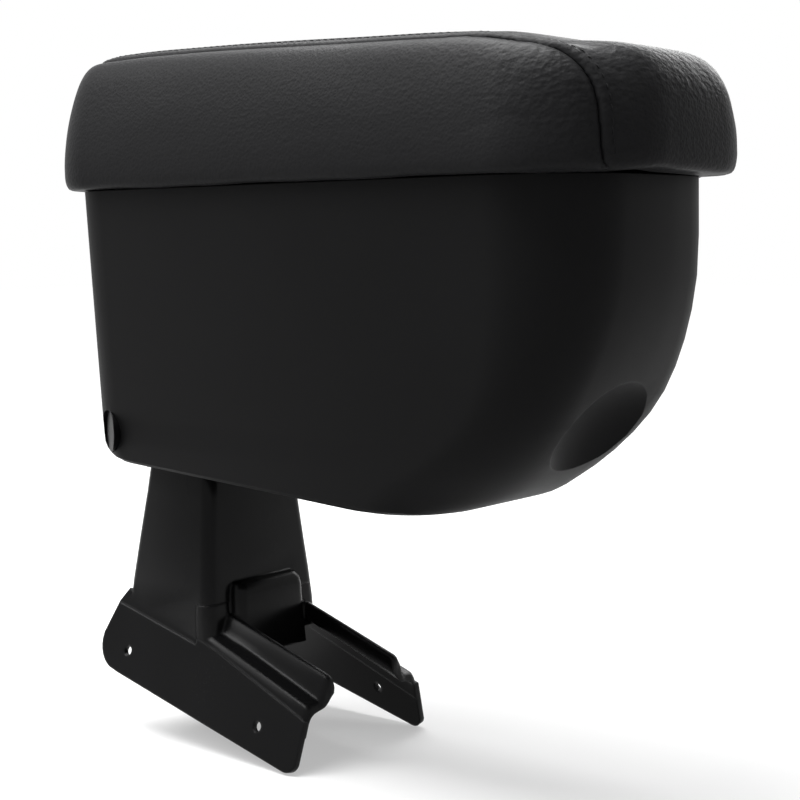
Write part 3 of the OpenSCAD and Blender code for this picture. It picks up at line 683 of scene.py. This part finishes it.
def zinc_steel(rgb):
    """Zinc plate: bright metal with fine drawn lines and cloudy passivation."""
    f = Finish("Zinc-plated steel")
    f.set(Metallic=1.0)
    lines = f.grain(1600, 2.0, vector=f.stretched((0.15, 1.0, 1.0)))
    cloud = f.grain(120, 4.0)
    f.between(lighter(rgb, 0.8), lighter(rgb, 1.12), cloud)
    f.to("Roughness", f.combine("ADD", f.spread(cloud, 0.24, 0.38), f.spread(lines, -0.04, 0.06)))
    f.to("Normal", f.bumped(lines, 0.12, 0.00008))
    return f.material


def coated_steel(rgb):
    f = Finish("Black-coated steel")
    f.set(Specular_IOR_Level=0.45)
    peel = f.grain(700, 2.0)
    edges = f.edge_wear(0.0006)
    f.between(rgb, lighter(rgb, 4.0), f.combine("MULTIPLY", edges, 0.8))
    f.to("Roughness", f.spread(peel, 0.38, 0.5))
    f.to("Normal", f.bumped(peel, 0.2, 0.00015))
    return f.material


def seen_directly(nodes, links):
    """1 on rays from the camera, off shiny things and through clear ones, otherwise 0."""
    path = nodes.new("ShaderNodeLightPath").outputs
    seen = path["Is Camera Ray"]
    for kind in ("Is Glossy Ray", "Is Transmission Ray"):
        either = nodes.new("ShaderNodeMath")
        either.operation = "MAXIMUM"
        links.new(seen, either.inputs[0])
        links.new(path[kind], either.inputs[1])
        seen = either.outputs["Value"]
    return seen


def studio_paper(rgb, near, far):
    """White paper that also glows a little where it is seen, more with the distance from the object."""
    f = Finish("Studio paper")
    f.set(Specular_IOR_Level=0.0, Roughness=0.9)
    f.between(lighter(rgb, 0.985), rgb, f.grain(3, 3.0))
    f.shader.inputs["Emission Color"].default_value = (1, 1, 1, 1)
    seen = seen_directly(f.nodes, f.links)
    gap = f.nodes.new("ShaderNodeVectorMath")
    gap.operation = "LENGTH"
    f.links.new(f.place, gap.inputs[0])
    f.to("Emission Strength", f.combine("MULTIPLY", seen, f.spread(gap.outputs["Value"], near, far, 0.25, 2.0)))
    return f.material


def give(obj, material):
    obj.data.materials.clear()
    obj.data.materials.append(material)


def rounded_shading():
    """A node group that joins a mesh's vertices and shades it smooth, but for its real edges."""
    name, real_edge = "Rounded shading", math.radians(24)
    if name in bpy.data.node_groups:
        return bpy.data.node_groups[name]
    group = bpy.data.node_groups.new(name, "GeometryNodeTree")
    group.interface.new_socket("Geometry", in_out="INPUT", socket_type="NodeSocketGeometry")
    group.interface.new_socket("Geometry", in_out="OUTPUT", socket_type="NodeSocketGeometry")
    nodes, links = group.nodes, group.links
    enter, leave = nodes.new("NodeGroupInput"), nodes.new("NodeGroupOutput")
    weld = nodes.new("GeometryNodeMergeByDistance")
    weld.inputs["Distance"].default_value = 0.004 * MM
    smooth = nodes.new("GeometryNodeSetShadeSmooth")
    smooth.domain = "FACE"
    sharp = nodes.new("GeometryNodeSetShadeSmooth")
    sharp.domain = "EDGE"
    sharp.inputs["Shade Smooth"].default_value = False
    angle = nodes.new("GeometryNodeInputMeshEdgeAngle")
    steep = nodes.new("FunctionNodeCompare")
    steep.data_type = "FLOAT"
    steep.operation = "GREATER_THAN"
    steep.inputs["B"].default_value = real_edge
    links.new(enter.outputs[0], weld.inputs["Geometry"])
    links.new(weld.outputs["Geometry"], smooth.inputs["Geometry"])
    links.new(smooth.outputs["Geometry"], sharp.inputs["Geometry"])
    links.new(angle.outputs["Unsigned Angle"], steep.inputs["A"])
    links.new(steep.outputs["Result"], sharp.inputs["Selection"])
    links.new(sharp.outputs["Geometry"], leave.inputs[0])
    return group


def finish_nodes(names, material):
    for name in names:
        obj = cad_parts[name]
        give(obj, material)
        obj.modifiers.new("Rounded shading", "NODES").node_group = rounded_shading()


# ---------------------------------------------------------------- operators

class ARMREST_OT_cover(bpy.types.Operator):
    """Sew the cover: side panel, top and nose panel, and the topstitch between them"""
    bl_idname = "armrest.cover"
    bl_label = "Sewn cover"

    def execute(self, context):
        sizes, finishes = context.scene.armrest_cover, context.scene.armrest_finishes
        leather = cover_leather(finishes.cover)
        bm, seam = dress_cover(sizes)
        stitches = sew_topstitch(bm, seam, sizes)
        side_panel = panel_from(bm, False, "cover_side", sizes)
        top_panel = panel_from(bm, True, "cover_top", sizes)
        bm.free()
        for panel, node in ((side_panel, "cover_side_panel"), (top_panel, "cover_top_panel")):
            give(panel, leather)
            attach(panel, "lid")
            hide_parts(node)
        give(stitches, sewing_thread(finishes.thread))
        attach(stitches, "lid")
        return {"FINISHED"}


class ARMREST_OT_lid_core(bpy.types.Operator):
    """Finish the lid's moulded base and its foam"""
    bl_idname = "armrest.lid_core"
    bl_label = "Lid base and foam"

    def execute(self, context):
        finishes = context.scene.armrest_finishes
        finish_nodes(["lid_foam"], open_foam(finishes.foam))
        # The cover sinks into the foam at its seam.
        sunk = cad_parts["lid_foam"].modifiers.new("Sunk under the cover", "DISPLACE")
        sunk.strength = -1.6 * MM
        sunk.mid_level = 0
        base = moulded_plastic("Lid base plastic", lighter(finishes.box, 1.15), rough=0.52, specular=0.3, texture=1500,
                               depth=0.35, waviness=0.1)
        finish_nodes(["lid_base"], base)
        return {"FINISHED"}


class ARMREST_OT_storage_box(bpy.types.Operator):
    """Finish the storage box, its pivot caps, mat and buffers"""
    bl_idname = "armrest.storage_box"
    bl_label = "Storage box"

    def execute(self, context):
        finishes = context.scene.armrest_finishes
        shell = moulded_plastic("Box plastic", finishes.box, rough=0.50, specular=0.05, texture=1900, depth=0.30,
                                waviness=0.10)
        finish_nodes(["box_shell"], shell)
        caps = moulded_plastic("Cap plastic", lighter(finishes.box, 0.9), rough=0.42, specular=0.05, texture=1500,
                               depth=0.15, waviness=0.05, wear=2.0)
        finish_nodes(["pivot_cap_left", "pivot_cap_right"], caps)
        finish_nodes(["box_floor_mat", "rim_buffers"], soft_rubber(finishes.rubber))
        return {"FINISHED"}


class ARMREST_OT_foot(bpy.types.Operator):
    """Finish the moulded foot and its stop block"""
    bl_idname = "armrest.foot"
    bl_label = "Foot"

    def execute(self, context):
        finishes = context.scene.armrest_finishes
        foot = moulded_plastic("Foot plastic", finishes.foot, rough=0.22, specular=0.08, texture=900, depth=0.08,
                               waviness=0.35, wear=2.0, edge=1.8 * MM)
        finish_nodes(["foot_moulding", "foot_flange_left", "foot_flange_right"], foot)
        finish_nodes(["tilt_stop_pad"], soft_rubber(finishes.rubber))
        return {"FINISHED"}


class ARMREST_OT_hardware(bpy.types.Operator):
    """Finish the hinge, the pivot and the fasteners"""
    bl_idname = "armrest.hardware"
    bl_label = "Hardware"

    def execute(self, context):
        finishes = context.scene.armrest_finishes
        zinc = zinc_steel(finishes.steel)
        finish_nodes(["stalk_bracket", "bracket_screws", "pivot_spacer", "pivot_bolt", "pivot_nut", "pivot_washers",
                      "hinge_lower_screws", "hinge_upper_screws", "hinge_pin", "cover_staples"], zinc)
        finish_nodes(["hinge_lower_leaf", "hinge_upper_leaf"], coated_steel(finishes.hinge))
        finish_nodes(["pivot_bush_left", "pivot_bush_right"], turned_nylon(finishes.nylon))
        return {"FINISHED"}


class ARMREST_OT_stage(bpy.types.Operator):
    """Set the pale floor, the lamps and the camera"""
    bl_idname = "armrest.stage"
    bl_label = "Stage"

    def execute(self, context):
        studio = context.scene.armrest_studio
        scene = context.scene
        bm = bmesh.new()
        bmesh.ops.create_grid(bm, x_segments=8, y_segments=8, size=FLOOR_SIZE)
        mesh = bpy.data.meshes.new("studio_floor")
        bm.to_mesh(mesh)
        bm.free()
        floor = bpy.data.objects.new("studio_floor", mesh)
        floor.location = (0, 0, frame_low.z - 0.5 * MM)
        scene.collection.objects.link(floor)
        give(floor, studio_paper(tuple(studio.floor), studio.glow_near, studio.glow_far))

        for name, (place, wide, high) in LAMPS.items():
            light = bpy.data.lights.new(name, "AREA")
            light.shape = "RECTANGLE"
            light.size, light.size_y, light.energy = wide, high, getattr(studio, name)
            lamp = bpy.data.objects.new(name, light)
            lamp.location = place
            lamp.rotation_euler = (LIT_CENTRE - Vector(place)).to_track_quat("-Z", "Y").to_euler()
            scene.collection.objects.link(lamp)

        world = bpy.data.worlds.new("Studio light")
        scene.world = world
        world.use_nodes = True
        nodes, links = world.node_tree.nodes, world.node_tree.links
        sky = nodes["Background"]
        sky.inputs["Color"].default_value = (1, 1, 1, 1)
        level = nodes.new("ShaderNodeMapRange")
        level.inputs["To Min"].default_value = studio.sky
        level.inputs["To Max"].default_value = 1.0
        links.new(seen_directly(nodes, links), level.inputs["Value"])
        links.new(level.outputs["Result"], sky.inputs["Strength"])

        around, down, roll = (math.radians(v) for v in VIEW_ANGLES)
        ahead = Vector((-math.sin(around) * math.cos(down), math.cos(around) * math.cos(down), -math.sin(down)))
        right = Vector((math.cos(around), math.sin(around), 0))
        up = right.cross(ahead)
        right, up = (right * math.cos(roll) + up * math.sin(roll), up * math.cos(roll) - right * math.sin(roll))
        lens = bpy.data.cameras.new("camera")
        lens.sensor_width, lens.lens, lens.clip_end = 36, 72, 50
        camera = bpy.data.objects.new("camera", lens)
        turn = Matrix((right, up, -ahead)).transposed().to_4x4()
        camera.matrix_world = Matrix.Translation(VIEWPOINT) @ turn
        scene.collection.objects.link(camera)
        scene.camera = camera
        scene.view_settings.view_transform = "Standard"
        return {"FINISHED"}


class ARMREST_PT_panel(bpy.types.Panel):
    """Buttons that dress the armrest piece by piece"""
    bl_idname = "ARMREST_PT_panel"
    bl_label = "Armrest"
    bl_space_type = "VIEW_3D"
    bl_region_type = "UI"
    bl_category = "Armrest"

    def draw(self, context):
        column = self.layout.column()
        for operator in OPERATORS:
            column.operator(operator.bl_idname)
        for group in ("armrest_cover", "armrest_finishes", "armrest_studio"):
            box = self.layout.box()
            settings = getattr(context.scene, group)
            for name in settings.__annotations__:
                box.prop(settings, name)


GROUPS = {
    "armrest_cover": ArmrestCoverSizes,
    "armrest_finishes": ArmrestFinishes,
    "armrest_studio": ArmrestStudio,
}
OPERATORS = (ARMREST_OT_stage, ARMREST_OT_lid_core, ARMREST_OT_cover, ARMREST_OT_storage_box, ARMREST_OT_foot,
             ARMREST_OT_hardware)


def register():
    for name, group in GROUPS.items():
        bpy.utils.register_class(group)
        setattr(bpy.types.Scene, name, PointerProperty(type=group))
    for cls in (*OPERATORS, ARMREST_PT_panel):
        bpy.utils.register_class(cls)


def unregister():
    for cls in (ARMREST_PT_panel, *reversed(OPERATORS)):
        bpy.utils.unregister_class(cls)
    for name, group in GROUPS.items():
        delattr(bpy.types.Scene, name)
        bpy.utils.unregister_class(group)


def main():
    register()
    bpy.ops.armrest.stage()
    bpy.ops.armrest.lid_core()
    bpy.ops.armrest.cover()
    bpy.ops.armrest.storage_box()
    bpy.ops.armrest.foot()
    bpy.ops.armrest.hardware()


if __name__ == "__main__":
    main()
